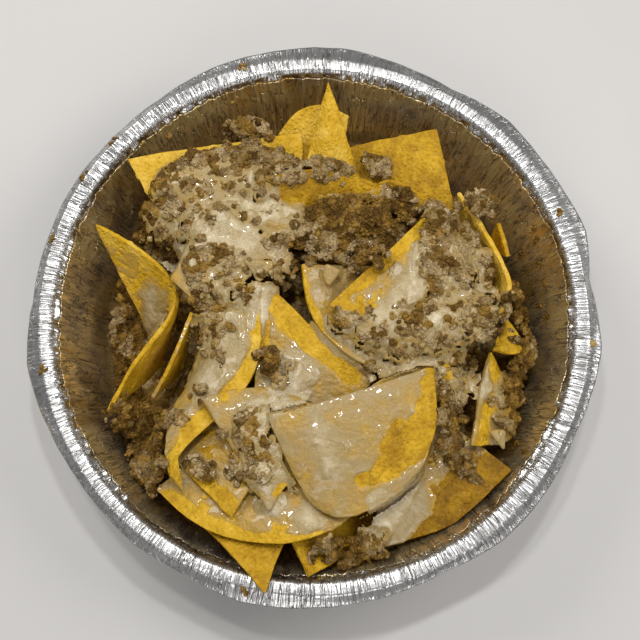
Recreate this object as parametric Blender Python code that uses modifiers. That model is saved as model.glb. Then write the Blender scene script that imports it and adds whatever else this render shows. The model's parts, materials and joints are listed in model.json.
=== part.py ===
# Loaded nachos in a round foil pan: quarter-tortilla chips and seasoned ground beef, piled in an
# aluminium takeaway pan. Metres, +Z up, origin at the middle of the pan's underside.
#
# The pile is built the way it is served. Standing chips lean in the pan, the others are laid one
# after another, and each drapes over whatever already lies below it. Beef rests on the chips, and a
# bed of loose beef fills the pan's floor up to the undersides of the food above it.

import math

import bmesh
import bpy
from mathutils import Vector, noise
from mathutils.bvhtree import BVHTree

MM = 0.001

# Pan
RIM_RADIUS = 115.0 * MM
FOLD_RADIUS = 110.0 * MM
LEDGE_RADIUS = 105.2 * MM
WALL_TOP_RADIUS = 104.2 * MM
WALL_FOOT_RADIUS = 90.6 * MM
FLOOR_RADIUS = 85.0 * MM
PAN_HEIGHT = 44.0 * MM
FLAP_DROP = 2.2 * MM
FOIL = 0.7 * MM
PAN_SEGMENTS = 64
LEDGE_TURN = 1.4 * MM
WALL_TOP_HEIGHT = PAN_HEIGHT - LEDGE_TURN
WALL_FOOT_HEIGHT = 5.0 * MM
WALL_STEPS = 3
MERGE_DISTANCE = 0.01 * MM

# Chips
CHIP_THICKNESS = 1.6 * MM
CHIP_ROWS = 7
BIT_ROWS = 3
EDGE_WAVER = 0.5 * MM
FACE_WAVER = 0.7 * MM
WAVER_SCALE = 0.022
EDGE_WAVER_SCALE = WAVER_SCALE / 2

# Laying
GAP = 0.4 * MM
DRAPE_PASSES = 14
DRAPE_KEEP = 0.93
SAMPLES_PER_CELL = 4
SIDE_REACH = 1.2 * MM
SKY = 0.2
FIRST_CLEARANCE = GAP + CHIP_THICKNESS * 0.75
SECOND_CLEARANCE = GAP + CHIP_THICKNESS * 0.6

# Beef
BED_RINGS = 9
BED_SECTORS = 32
BED_EDGE_HEIGHT = 9.0 * MM
BED_CROWN = 15.0 * MM
BED_ROUGHNESS = 2.2 * MM
BED_FLOOR = 2.2 * MM
BED_CLEARANCE = 0.8 * MM
BED_FOOT_RADIUS = FLOOR_RADIUS - 1.0 * MM
BED_RAGGEDNESS = 0.03
HEAP_RINGS = 4
HEAP_SECTORS = 12
HEAP_ROUGHNESS = 1.6 * MM
HEAP_RIM_HEIGHT = 1.4 * MM
HEAP_KEEP = 0.985
HEAP_FULLNESS = 0.6
OUTLINE_RAGGEDNESS = 0.16
OUTLINE_LOBES = 1.7
OUTLINE_STEP = (4.1, 1.0, 0.0)
CRUMB_SCALE = 0.007
BED_CRUMB_SCALE = CRUMB_SCALE * 1.4
BED_SEED = 40
BED_LOBES = 3
CLUMP_ROUGHNESS = 0.16
CLUMP_LUMP_SCALE = 0.6
CLUMP_UNDERSIDE = 0.5
CLUMP_CLEARANCE = GAP * 1.5
ROUGHNESS_STEP = (7.3, 3.1, 5.7)

# Colour, roughness and metallic of each finish
FINISHES = {
    "foil": ((0.62, 0.62, 0.61), 0.32, 1.0),
    "tortilla": ((0.66, 0.40, 0.07), 0.62, 0.0),
    "ground_beef": ((0.22, 0.14, 0.07), 0.55, 0.0),
}

# Everything laid in the pan, in the order of laying, in millimetres.
#
# A chip has its corner and the points that its outer edge passes through; two points make a plain
# quarter circle about the corner. Its bow is how far its middle is raised. A standing chip keeps its
# place, and the others drape. A heap of beef has its middle, half length and half width, its turn in
# degrees and its depth. A clump, large enough to pick up alone, has its middle and three half sizes.
FOOD = {
    "chip_left_curl": dict(
        corner=(-64, -14, 8),
        edge=[(-90, 38, 42), (-68, 25, 44), (-53, 5, 44), (-71, -19, 42), (-82, -39, 35)],
        standing=True,
    ),
    "chip_left_edge": dict(
        corner=(-56, -17, 9), edge=[(-49, 1, 40), (-56, -18, 40), (-65, -33, 34)], standing=True
    ),
    "chip_right_standing": dict(
        corner=(68, 22, 10), edge=[(60, 52, 40), (70, 32, 46), (79, 11, 47), (75, -1, 42)], standing=True
    ),
    "chip_right_sliver": dict(corner=(75, 36, 14), edge=[(77, 40, 36), (80, 25, 38)], standing=True),
    "chip_front_rim": dict(
        corner=(-18, -109, 46.6), edge=[(-61, -72, 20), (7, -52, 12)], bow=7, standing=True
    ),
    "chip_front_tip": dict(corner=(-2, -103, 39), edge=[(-18, -68, 14), (31, -85, 14)]),
    "chip_back_right": dict(corner=(52, 81, 38), edge=[(-17, 71, 22), (66, 21, 24)], bow=4),
    "chip_back_bent": dict(
        corner=(9, 60, 20), edge=[(-18, 76, 31), (-9, 87, 37), (3, 91, 38), (15, 88, 34)]
    ),
    "chip_back_left": dict(corner=(-77, 65, 44), edge=[(-5, 79, 36), (-45, 9, 30)], bow=3),
    "chip_back_spike": dict(corner=(6, 97, 49), edge=[(-5, 60, 27), (5, 54, 37), (23, 50, 30)]),
    "beef_back_right": dict(middle=(26, 66), size=(9, 6), turn=0, depth=5),
    "beef_back_left": dict(middle=(-33, 53), size=(36, 20), turn=8, depth=7),
    "clump_back": dict(middle=(-29, 79), size=(7, 4.5, 5)),
    "chip_hollow_right": dict(
        corner=(38, 14, 26), edge=[(16, 45, 37), (31, 57, 43), (51, 47, 38)], bow=-4
    ),
    "chip_hollow_left": dict(
        corner=(7, 10, 28), edge=[(-19, 54, 44), (5, 58, 45), (29, 54, 40)], bow=-4
    ),
    "beef_back_centre": dict(middle=(18, 33), size=(27, 13), turn=-5, depth=7),
    "chip_front_wide": dict(
        corner=(-21, -32, 24),
        edge=[(-61, -70, 28), (-45, -84, 28), (-20, -91, 30), (2, -88, 31), (17, -78, 31)],
    ),
    "chip_front_left": dict(corner=(-31, -81, 31), edge=[(-61, -52, 24), (-6, -38, 32)], bow=2),
    "chip_lower_right": dict(
        corner=(29, -24, 34), edge=[(78, -62, 31), (54, -83, 27), (24, -92, 28)], bow=2
    ),
    "beef_low_right": dict(middle=(56, -56), size=(11, 9), turn=20, depth=3),
    "beef_front_left": dict(middle=(-44, -62), size=(9, 6), turn=-30, depth=3),
    "chip_left_middle": dict(corner=(-42, -1, 41), edge=[(-57, 13, 38), (-40, 41, 42), (-18, 26, 43)], bow=2),
    "chip_centre_long": dict(corner=(-19, 12, 44), edge=[(23, -28, 40), (-25, -46, 36)], bow=2),
    "chip_left_wide": dict(
        corner=(-47, -16, 24),
        edge=[(-23, 7, 43), (-20, -15, 43), (-27, -33, 42), (-45, -49, 38), (-55, -62, 34), (-50, -71, 28)],
        bow=7,
    ),
    "chip_front_middle": dict(corner=(-17, -78, 37), edge=[(-43, -36, 36), (9, -44, 34)], bow=2),
    "beef_front_middle": dict(middle=(-22, -54), size=(10, 17), turn=12, depth=4),
    "chip_centre_crescent": dict(
        corner=(46, 22, 34), edge=[(-5, 19, 44), (-1, -3, 42), (15, -19, 40), (34, -25, 39)], bow=-3
    ),
    "beef_crescent": dict(middle=(25, -9), size=(17, 8), turn=-25, depth=5),
    "chip_small_behind": dict(corner=(53, -11, 43), edge=[(14, -35, 42), (56, -33, 36)], bow=1),
    "chip_right_flap": dict(
        corner=(71, -15, 38), edge=[(61, -53, 30), (74, -52, 25), (82, -44, 20), (82, -31, 22)]
    ),
    "chip_right_fold": dict(corner=(77, -1, 41), edge=[(86, -14, 36), (79, -17, 41), (72, -15, 36)]),
    "chip_centre_right": dict(corner=(6, 1, 48), edge=[(47, 41, 47), (40, -17, 42)], bow=2),
    "beef_right": dict(middle=(54, 19), size=(14, 23), turn=15, depth=6),
    "beef_right_low": dict(middle=(43, -7), size=(14, 6), turn=12, depth=4),
    "chip_front_top": dict(
        corner=(-17, -44, 46),
        edge=[(46, -24, 52), (48, -40, 51), (43, -61, 49), (27, -75, 46), (10, -82, 42), (-2, -74, 42)],
        bow=3,
    ),
    "chip_bit_back": dict(corner=(-8, 34, 48), edge=[(-20, 37, 47), (-14, 28, 46)]),
    "chip_bit_middle": dict(corner=(11, 16, 49), edge=[(5, 19, 48), (6, 10, 47)]),
    "chip_bit_left": dict(corner=(-28, 20, 47), edge=[(-16, 20, 46), (-22, 11, 45)]),
    "chip_bit_right": dict(corner=(74, -55, 33), edge=[(68, -48, 33), (75, -47, 33)]),
    "beef_left": dict(middle=(-42, 19), size=(12, 9), turn=20, depth=3),
    "clump_right": dict(middle=(66, -4), size=(7.5, 7, 6)),
    "clump_front": dict(middle=(20, -90), size=(6.5, 6.5, 6.5)),
    "clump_left": dict(middle=(-67, -59), size=(8, 7.5, 7)),
    "clump_centre": dict(middle=(-16, -21), size=(4.5, 9, 4.5)),
    "clump_small_front": dict(middle=(9, -94), size=(3.5, 3.5, 3.5)),
    "clump_pair": dict(middle=(-29, 8), size=(4.5, 4, 3.5)),
    "clump_grey": dict(middle=(54, -38), size=(3.5, 6, 3.5)),
    "clump_tip": dict(middle=(24, 19), size=(4.5, 3.5, 3)),
    "clump_back_right": dict(middle=(67, 43), size=(6, 6.5, 5.5)),
}

# Places where the bed of loose beef is piled higher: middle, reach and extra height.
BED_HUMPS = [
    ((-70, -43), 22, 13),
    ((86, -11), 26, 12),
    ((85, 14), 16, 10),
    ((-78, 42), 24, 10),
]


def finish(name):
    material = bpy.data.materials.get(name)
    if material:
        return material
    colour, roughness, metallic = FINISHES[name]
    material = bpy.data.materials.new(name)
    material.use_nodes = True
    shader = material.node_tree.nodes["Principled BSDF"]
    shader.inputs["Base Color"].default_value = (*colour, 1.0)
    shader.inputs["Roughness"].default_value = roughness
    shader.inputs["Metallic"].default_value = metallic
    return material


def add_object(name, points, faces, finish_name, collection):
    mesh = bpy.data.meshes.new(name)
    mesh.from_pydata([tuple(p) for p in points], [], faces)
    mesh.materials.append(finish(finish_name))
    obj = bpy.data.objects.new(name, mesh)
    collection.objects.link(obj)
    return obj


def evaluated_surface(obj):
    bpy.context.view_layer.update()
    depsgraph = bpy.context.evaluated_depsgraph_get()
    return BVHTree.FromObject(obj, depsgraph)


def roughness_at(point, scale, seed):
    return noise.noise(Vector(point) / scale + Vector(ROUGHNESS_STEP) * seed)


# The food laid so far


class Pile:
    def __init__(self):
        self.surfaces = []

    def add(self, obj):
        self.surfaces.append(evaluated_surface(obj))

    def top(self, x, y):
        heights = [s.ray_cast(Vector((x, y, SKY)), Vector((0, 0, -1)))[0] for s in self.surfaces]
        return max((h.z for h in heights if h), default=0.0)

    def underside(self, x, y):
        heights = [s.ray_cast(Vector((x, y, FOIL)), Vector((0, 0, 1)))[0] for s in self.surfaces]
        return min((h.z for h in heights if h), default=SKY)

    def top_near(self, x, y):
        steps = (-SIDE_REACH, 0.0, SIDE_REACH)
        return max(self.top(x + dx, y + dy) for dx in steps for dy in steps if dx * dy == 0)

    def underside_near(self, x, y):
        steps = (-SIDE_REACH, 0.0, SIDE_REACH)
        return min(self.underside(x + dx, y + dy) for dx in steps for dy in steps if dx * dy == 0)


# Pan


def wall_radius(height):
    share = (height - WALL_FOOT_HEIGHT) / (WALL_TOP_HEIGHT - WALL_FOOT_HEIGHT)
    return WALL_FOOT_RADIUS + (WALL_TOP_RADIUS - WALL_FOOT_RADIUS) * share


def foil_pan(collection):
    profile = [
        (RIM_RADIUS, PAN_HEIGHT - FLAP_DROP),
        (FOLD_RADIUS, PAN_HEIGHT - FOIL / 2),
        (LEDGE_RADIUS, PAN_HEIGHT - FOIL / 2),
    ]
    for step in range(WALL_STEPS + 1):
        height = WALL_TOP_HEIGHT + (WALL_FOOT_HEIGHT - WALL_TOP_HEIGHT) * step / WALL_STEPS
        profile.append((wall_radius(height), height))
    for turn in (math.pi / 4, math.pi / 2):
        radius = FLOOR_RADIUS + (WALL_FOOT_RADIUS - FLOOR_RADIUS) * math.cos(turn)
        profile.append((radius, FOIL / 2 + (WALL_FOOT_HEIGHT - FOIL / 2) * (1 - math.sin(turn))))
    profile.append((0.0, FOIL / 2))
    points = [(radius, 0.0, height) for radius, height in profile]
    edges = [(i, i + 1) for i in range(len(points) - 1)]
    mesh = bpy.data.meshes.new("foil_pan")
    mesh.from_pydata(points, edges, [])
    mesh.materials.append(finish("foil"))
    obj = bpy.data.objects.new("foil_pan", mesh)
    collection.objects.link(obj)
    screw = obj.modifiers.new("Turn", "SCREW")
    screw.steps = PAN_SEGMENTS
    screw.render_steps = PAN_SEGMENTS
    screw.use_merge_vertices = True
    screw.merge_threshold = MERGE_DISTANCE
    wall = obj.modifiers.new("Foil", "SOLIDIFY")
    wall.thickness = FOIL
    wall.offset = 0.0
    wall.use_even_offset = True
    return obj


# Chips


def along(points, t):
    """A smooth curve through the points, t from 0 to 1."""
    place = t * (len(points) - 1)
    i = min(int(place), len(points) - 2)
    u = place - i
    before = points[i - 1] if i else points[0] * 2 - points[1]
    after = points[i + 2] if i + 2 < len(points) else points[-1] * 2 - points[-2]
    a, b = points[i], points[i + 1]
    return 0.5 * (
        a * 2
        + (b - before) * u
        + (before * 2 - a * 5 + b * 4 - after) * u**2
        + (a * 3 - before - b * 3 + after) * u**3
    )


def quarter_arc(corner, ends, t):
    """An arc about the corner, from one end to the other, t from 0 to 1."""
    first, last = ends[0] - corner, ends[1] - corner
    angle = first.angle(last)
    return corner + (first * math.sin((1 - t) * angle) + last * math.sin(t * angle)) / math.sin(angle)


def chip_surface(design, seed):
    """Gives the chip's middle surface as a function of the distance out and the turn, each 0 to 1."""
    corner = Vector(design["corner"]) * MM
    edge = [Vector(point) * MM for point in design["edge"]]
    bow = design.get("bow", 0) * MM
    normal = (edge[0] - corner).cross(edge[-1] - corner).normalized()
    if normal.z < 0:
        normal = -normal

    def at(out, turn):
        rim = quarter_arc(corner, edge, turn) if len(edge) == 2 else along(edge, turn)
        point = corner + (rim - corner) * out
        point = point + normal * bow * 4 * out * (1 - out)
        waver = roughness_at(point, WAVER_SCALE, seed)
        side = roughness_at(point, EDGE_WAVER_SCALE, seed + 0.5)
        return point + normal * FACE_WAVER * waver + (rim - corner).normalized() * EDGE_WAVER * side * out

    return at


def triangle_grid(rows):
    places = [(0.0, 0.5)]
    for row in range(1, rows + 1):
        places += [(row / rows, step / row) for step in range(row + 1)]
    start = [row * (row + 1) // 2 for row in range(rows + 1)]
    faces = []
    for row in range(rows):
        for step in range(row + 1):
            faces.append((start[row] + step, start[row + 1] + step, start[row + 1] + step + 1))
        for step in range(row):
            faces.append((start[row] + step, start[row + 1] + step + 1, start[row] + step + 1))
    return places, faces


def samples_of(points, face):
    a, b, c = (points[i] for i in face)
    for i in range(SAMPLES_PER_CELL + 1):
        for j in range(SAMPLES_PER_CELL + 1 - i):
            u, v = i / SAMPLES_PER_CELL, j / SAMPLES_PER_CELL
            yield a * (1 - u - v) + b * u + c * v


def height_needed(points, face, pile, clearance):
    """How far a flat triangle must rise to clear the pile."""
    rises = [pile.top_near(p.x, p.y) + clearance - p.z for p in samples_of(points, face)]
    return max(0.0, max(rises))


def neighbours_of(faces, count):
    links = [set() for _ in range(count)]
    for face in faces:
        for corner in face:
            links[corner].update(i for i in face if i != corner)
    return links


def eased_over(need, links, keep):
    """Heights no lower than needed, that ease off smoothly around the places that need most."""
    height = list(need)
    for _ in range(DRAPE_PASSES):
        around = [keep * sum(height[j] for j in links[i]) / len(links[i]) for i in range(len(height))]
        height = [max(n, a) for n, a in zip(need, around)]
    return height


def drape(points, faces, pile):
    """Raises the points over the pile."""
    links = neighbours_of(faces, len(points))
    for clearance in (FIRST_CLEARANCE, SECOND_CLEARANCE):
        need = [0.0] * len(points)
        for face in faces:
            lift = height_needed(points, face, pile, clearance)
            for i in face:
                need[i] = max(need[i], lift)
        lift = eased_over(need, links, DRAPE_KEEP)
        points = [p + Vector((0, 0, rise)) for p, rise in zip(points, lift)]
    return points


def chip(name, design, seed, pile, collection):
    rows = BIT_ROWS if name.startswith("chip_bit") else CHIP_ROWS
    surface = chip_surface(design, seed)
    places, faces = triangle_grid(rows)
    points = [surface(out, turn) for out, turn in places]
    if not design.get("standing"):
        points = drape(points, faces, pile)
    obj = add_object(name, points, faces, "tortilla", collection)
    wall = obj.modifiers.new("Thickness", "SOLIDIFY")
    wall.thickness = CHIP_THICKNESS
    wall.offset = 0.0
    pile.add(obj)
    return obj


# Beef


def heap_outline(angle, half_length, half_width, seed):
    around = Vector((math.cos(angle), math.sin(angle), 0)) * OUTLINE_LOBES
    ragged = 1 + OUTLINE_RAGGEDNESS * noise.noise(around + Vector(OUTLINE_STEP) * seed)
    return half_length * math.cos(angle) * ragged, half_width * math.sin(angle) * ragged


def disc_points(place, rings, sectors):
    points = [place(0.0, 0.0)]
    for ring in range(1, rings + 1):
        points += [place(ring / rings, 2 * math.pi * s / sectors) for s in range(sectors)]
    return points


def disc_faces(rings, sectors, first, facing_up):
    faces = []
    for s in range(sectors):
        n = (s + 1) % sectors
        faces.append((first, first + 1 + s, first + 1 + n))
        for ring in range(rings - 1):
            inner = first + 1 + ring * sectors
            outer = inner + sectors
            faces.append((inner + s, outer + s, outer + n))
            faces.append((inner + s, outer + n, inner + n))
    return faces if facing_up else [tuple(reversed(face)) for face in faces]


def closed_heap(name, bottom, top, rings, sectors, collection):
    """A solid between two discs of points, joined round the rim."""
    count = len(bottom)
    faces = disc_faces(rings, sectors, 0, False) + disc_faces(rings, sectors, count, True)
    rim = 1 + (rings - 1) * sectors
    for s in range(sectors):
        n = (s + 1) % sectors
        faces.append((rim + s, rim + n, count + rim + n))
        faces.append((rim + s, count + rim + n, count + rim + s))
    return add_object(name, bottom + top, faces, "ground_beef", collection)


def settled(points, faces, height_at, choose):
    """The height that every point needs so that all the faces around it clear their neighbours."""
    best = [height_at(p.x, p.y) for p in points]
    for face in faces:
        height = choose(height_at(p.x, p.y) for p in samples_of(points, face))
        for i in face:
            best[i] = choose(best[i], height)
    return best


def heap(name, design, seed, pile, collection):
    """Beef that lies on the chips below it."""
    middle = Vector((*design["middle"], 0)) * MM
    half_length, half_width = (value * MM for value in design["size"])
    turn = math.radians(design["turn"])
    depth = design["depth"] * MM

    def place(out, angle):
        u, v = heap_outline(angle, half_length * out, half_width * out, seed)
        x = u * math.cos(turn) - v * math.sin(turn)
        y = u * math.sin(turn) + v * math.cos(turn)
        return middle + Vector((x, y, 0))

    flat = disc_points(place, HEAP_RINGS, HEAP_SECTORS)
    faces = disc_faces(HEAP_RINGS, HEAP_SECTORS, 0, True)
    floor = settled(flat, faces, pile.top_near, max)
    floor = eased_over(floor, neighbours_of(faces, len(flat)), HEAP_KEEP)
    bottom = []
    top = []
    for i, (point, height) in enumerate(zip(flat, floor)):
        ring = 0 if i == 0 else 1 + (i - 1) // HEAP_SECTORS
        dome = 1 - (ring / HEAP_RINGS) ** 2
        bumps = HEAP_ROUGHNESS * roughness_at(point, CRUMB_SCALE, seed)
        thickness = max(HEAP_RIM_HEIGHT, HEAP_RIM_HEIGHT + depth * dome**HEAP_FULLNESS + bumps)
        bottom.append(point + Vector((0, 0, height + GAP)))
        top.append(point + Vector((0, 0, height + GAP + thickness)))
    obj = closed_heap(name, bottom, top, HEAP_RINGS, HEAP_SECTORS, collection)
    pile.add(obj)
    return obj


def clump(name, design, seed, pile, collection):
    """A lump of beef, lowered until it rests on the pile."""
    mesh = bmesh.new()
    bmesh.ops.create_icosphere(mesh, subdivisions=2, radius=1.0)
    half = [value * MM for value in design["size"]]
    points = []
    for vertex in mesh.verts:
        swell = 1 + CLUMP_ROUGHNESS * roughness_at(vertex.co, CLUMP_LUMP_SCALE, seed)
        points.append(Vector([c * h * swell for c, h in zip(vertex.co, half)]))
    faces = [tuple(v.index for v in face.verts) for face in mesh.faces]
    mesh.free()
    middle = Vector((*design["middle"], 0)) * MM
    points = [p + middle for p in points]
    under = [face for face in faces if all(points[i].z < half[2] * CLUMP_UNDERSIDE for i in face)]
    rise = max(height_needed(points, face, pile, CLUMP_CLEARANCE) for face in under)
    obj = add_object(name, [p + Vector((0, 0, rise)) for p in points], faces, "ground_beef", collection)
    pile.add(obj)
    return obj


def bed_height(point):
    spread = point.length / FLOOR_RADIUS
    height = BED_EDGE_HEIGHT + BED_CROWN * max(0.0, 1 - spread**2)
    for middle, reach, extra in BED_HUMPS:
        distance = (point - Vector((*middle, 0)) * MM).length / (reach * MM)
        height += extra * MM * math.exp(-(distance**2))
    return height + BED_ROUGHNESS * roughness_at(point, BED_CRUMB_SCALE, BED_SEED)


def beef_bed(pile, collection):
    """Loose beef on the pan's floor, under the chips."""
    base = FOIL + GAP

    def foot(out, angle):
        return Vector((math.cos(angle), math.sin(angle), 0)) * BED_FOOT_RADIUS * out

    def crest(out, angle):
        around = Vector((math.cos(angle), math.sin(angle), 0))
        ragged = 1 - BED_RAGGEDNESS * (1 + noise.noise(around * BED_LOBES))
        return around * (WALL_FOOT_RADIUS - FOIL) * ragged * out

    bottom = disc_points(foot, BED_RINGS, BED_SECTORS)
    flat = disc_points(crest, BED_RINGS, BED_SECTORS)
    faces = disc_faces(BED_RINGS, BED_SECTORS, 0, True)
    ceiling = settled(flat, faces, pile.underside_near, min)
    top = []
    for point, limit in zip(flat, ceiling):
        height = min(bed_height(point), limit - BED_CLEARANCE)
        top.append(point + Vector((0, 0, max(height, base + BED_FLOOR))))
    bottom = [p + Vector((0, 0, base)) for p in bottom]
    return closed_heap("beef_bed", bottom, top, BED_RINGS, BED_SECTORS, collection)


def main():
    for obj in list(bpy.data.objects):
        bpy.data.objects.remove(obj, do_unlink=True)
    collection = bpy.data.collections.new("nachos")
    bpy.context.scene.collection.children.link(collection)

    pan = foil_pan(collection)
    pile = Pile()
    pile.add(pan)
    for seed, (name, design) in enumerate(FOOD.items()):
        if "corner" in design:
            chip(name, design, seed, pile, collection)
        elif "depth" in design:
            heap(name, design, seed, pile, collection)
        else:
            clump(name, design, seed, pile, collection)
    pile.surfaces.pop(0)
    beef_bed(pile, collection)


main()
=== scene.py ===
import json
import math

import bmesh
import bpy
import numpy as np
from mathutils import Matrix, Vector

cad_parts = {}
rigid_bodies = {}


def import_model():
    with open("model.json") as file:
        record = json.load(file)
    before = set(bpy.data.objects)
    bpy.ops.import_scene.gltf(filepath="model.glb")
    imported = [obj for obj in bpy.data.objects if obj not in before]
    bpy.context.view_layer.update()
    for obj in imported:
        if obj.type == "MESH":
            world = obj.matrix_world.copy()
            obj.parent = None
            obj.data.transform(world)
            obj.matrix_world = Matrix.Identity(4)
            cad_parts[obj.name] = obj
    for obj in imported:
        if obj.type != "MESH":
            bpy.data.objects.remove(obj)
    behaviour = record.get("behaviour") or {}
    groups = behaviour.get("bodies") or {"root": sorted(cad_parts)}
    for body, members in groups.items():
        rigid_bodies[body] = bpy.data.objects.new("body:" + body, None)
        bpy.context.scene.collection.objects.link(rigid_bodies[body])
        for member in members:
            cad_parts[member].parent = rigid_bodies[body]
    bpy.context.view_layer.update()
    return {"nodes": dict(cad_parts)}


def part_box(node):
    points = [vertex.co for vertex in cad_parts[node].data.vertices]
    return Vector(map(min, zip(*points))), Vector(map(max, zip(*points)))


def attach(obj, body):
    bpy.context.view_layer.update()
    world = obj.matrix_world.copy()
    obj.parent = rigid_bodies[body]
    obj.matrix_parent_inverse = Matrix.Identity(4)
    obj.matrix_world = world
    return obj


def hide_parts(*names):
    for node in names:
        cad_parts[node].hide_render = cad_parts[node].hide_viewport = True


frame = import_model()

mm = 0.001
mapReach = 120          # height maps cover this far out from the middle, in millimetres
emptyCell = -9.0        # the height of a cell that nothing lies on
nodes = frame["nodes"]
chipNodes = sorted(n for n in nodes if n.startswith("chip_"))
heapNodes = sorted(n for n in nodes if n.startswith("beef_"))
clumpNodes = sorted(n for n in nodes if n.startswith("clump_"))
bpy.context.scene.view_settings.view_transform = "Standard"   # keeps the yellows as mixed


# numbers that vary over space, all sizes in millimetres

def scattered(cells, seed):
    # one even random number from 0 to 1 for each whole-number place
    x, y, z = (cells[..., i].astype(np.int64) for i in range(3))
    n = (x * 374761393 + y * 668265263 + z * 1274126177 + seed * 974634777) & 0xFFFFFFFF
    n = ((n ^ (n >> 13)) * 1274126177) & 0xFFFFFFFF
    n = ((n ^ (n >> 16)) * 2246822519) & 0xFFFFFFFF
    return (n ^ (n >> 15)) / 4294967295.0


def wave(points, seed=0):
    # smooth noise from -1 to 1, one bump a unit
    cell = np.floor(points)
    part = points - cell
    part = part * part * (3 - 2 * part)
    total = np.zeros(len(points))
    for i in (0, 1):
        for j in (0, 1):
            for k in (0, 1):
                share = np.abs(1 - i - part[:, 0]) * np.abs(1 - j - part[:, 1]) * np.abs(1 - k - part[:, 2])
                total += share * scattered(cell + (i, j, k), seed)
    return total * 2 - 1


def layered(points, size, seed=0, layers=3):
    total, reach = np.zeros(len(points)), 0.0
    for n in range(layers):
        total += wave(points / (size * 0.5 ** n) + 11.7 * n, seed + n) * 0.5 ** n
        reach += 0.5 ** n
    return total / reach


def pebbles(points, size, seed=0):
    # round-topped lumps packed side by side: 1 on top of each, 0 in the seams
    cell = np.floor(points / size)
    nearest = np.full(len(points), 9.0)
    for i in (-1, 0, 1):
        for j in (-1, 0, 1):
            for k in (-1, 0, 1):
                there = cell + (i, j, k)
                middle = np.stack([scattered(there, seed + a) for a in range(3)], -1) * 0.8 + 0.1 + there
                nearest = np.minimum(nearest, ((middle - points / size) ** 2).sum(-1))
    return np.clip(1 - nearest / 0.75, 0, 1) ** 0.6


def eased(value, low, high):
    t = np.clip((value - low) / (high - low), 0, 1)
    return t * t * (3 - 2 * t)


def inside(points, strokes):
    # how far inside a set of brush strokes a place is; a stroke is (x, y, radius) after (x, y, radius)
    best = np.full(len(points), -60.0)
    for stroke in strokes:
        for start, end in zip(stroke, stroke[1:] or stroke):
            a, b = np.array(start[:2], float), np.array(end[:2], float)
            run = b - a
            length = max(float(run @ run), 1e-9)
            t = np.clip(((points[:, :2] - a) @ run) / length, 0, 1)
            reach = np.hypot(*(points[:, :2] - a - t[:, None] * run).T)
            best = np.maximum(best, start[2] + t * (end[2] - start[2]) - reach)
    return best


# shader maths

class Flow:
    def __init__(self, recipe, socket):
        self.recipe, self.socket = recipe, socket

    def maths(self, operation, first, second):
        return self.recipe.node("ShaderNodeMath", {"operation": operation}, {0: first, 1: second})

    def __add__(self, other):
        return self.maths("ADD", self, other)

    def __sub__(self, other):
        return self.maths("SUBTRACT", self, other)

    def __rsub__(self, other):
        return self.maths("SUBTRACT", other, self)

    def __mul__(self, other):
        return self.maths("MULTIPLY", self, other)

    __radd__ = __add__
    __rmul__ = __mul__


class Recipe:
    def __init__(self, name):
        self.material = bpy.data.materials.new(name)
        self.material.use_nodes = True
        self.tree = self.material.node_tree
        self.tree.nodes.clear()
        self.place = self.node("ShaderNodeTexCoord", out="Object")

    def node(self, kind, settings=None, sockets=None, out=0):
        made = self.tree.nodes.new(kind)
        for key, value in (settings or {}).items():
            if key != "stops":
                setattr(made, key, value)
                continue
            for n, (spot, colour) in enumerate(value):
                stop = made.color_ramp.elements[n] if n < 2 else made.color_ramp.elements.new(spot)
                stop.position, stop.color = spot, (*colour, 1)
        for key, value in (sockets or {}).items():
            if isinstance(value, Flow):
                self.tree.links.new(value.socket, made.inputs[key])
            else:
                made.inputs[key].default_value = value
        return Flow(self, made.outputs[out]) if len(made.outputs) else None

    def attribute(self, name):
        return self.node("ShaderNodeAttribute", {"attribute_name": name}, out="Fac")

    def grain(self, size, detail=3, harsh=0.5):
        return self.node("ShaderNodeTexNoise", {}, {"Vector": self.place, "Scale": 1 / (size * mm),
                                                    "Detail": detail, "Roughness": harsh})

    def cells(self, size, out="Distance"):
        return self.node("ShaderNodeTexVoronoi", {}, {"Vector": self.place, "Scale": 1 / (size * mm)}, out)

    def span(self, value, low, high, start=0.0, end=1.0):
        return self.node("ShaderNodeMapRange", {"interpolation_type": "SMOOTHSTEP"},
                         {0: value, 1: low, 2: high, 3: start, 4: end})

    def ramp(self, value, stops):
        return self.node("ShaderNodeValToRGB", {"stops": stops}, {0: value})

    def mix(self, share, first, second, how="MIX"):
        first, second = ((*c, 1) if isinstance(c, tuple) else c for c in (first, second))
        return self.node("ShaderNodeMix", {"data_type": "RGBA", "blend_type": how},
                         {0: share, 6: first, 7: second}, 2)

    def bump(self, height, depth, under=None):
        sockets = {"Height": height, "Distance": depth * mm, "Strength": 1.0}
        if under:
            sockets["Normal"] = under
        return self.node("ShaderNodeBump", {}, sockets)

    def finish(self, **sockets):
        shader = self.node("ShaderNodeBsdfPrincipled", {},
                           {key.replace("_", " "): value for key, value in sockets.items()})
        self.node("ShaderNodeOutputMaterial", {"target": "ALL"}, {"Surface": shader})
        return self.material


# building pieces

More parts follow.
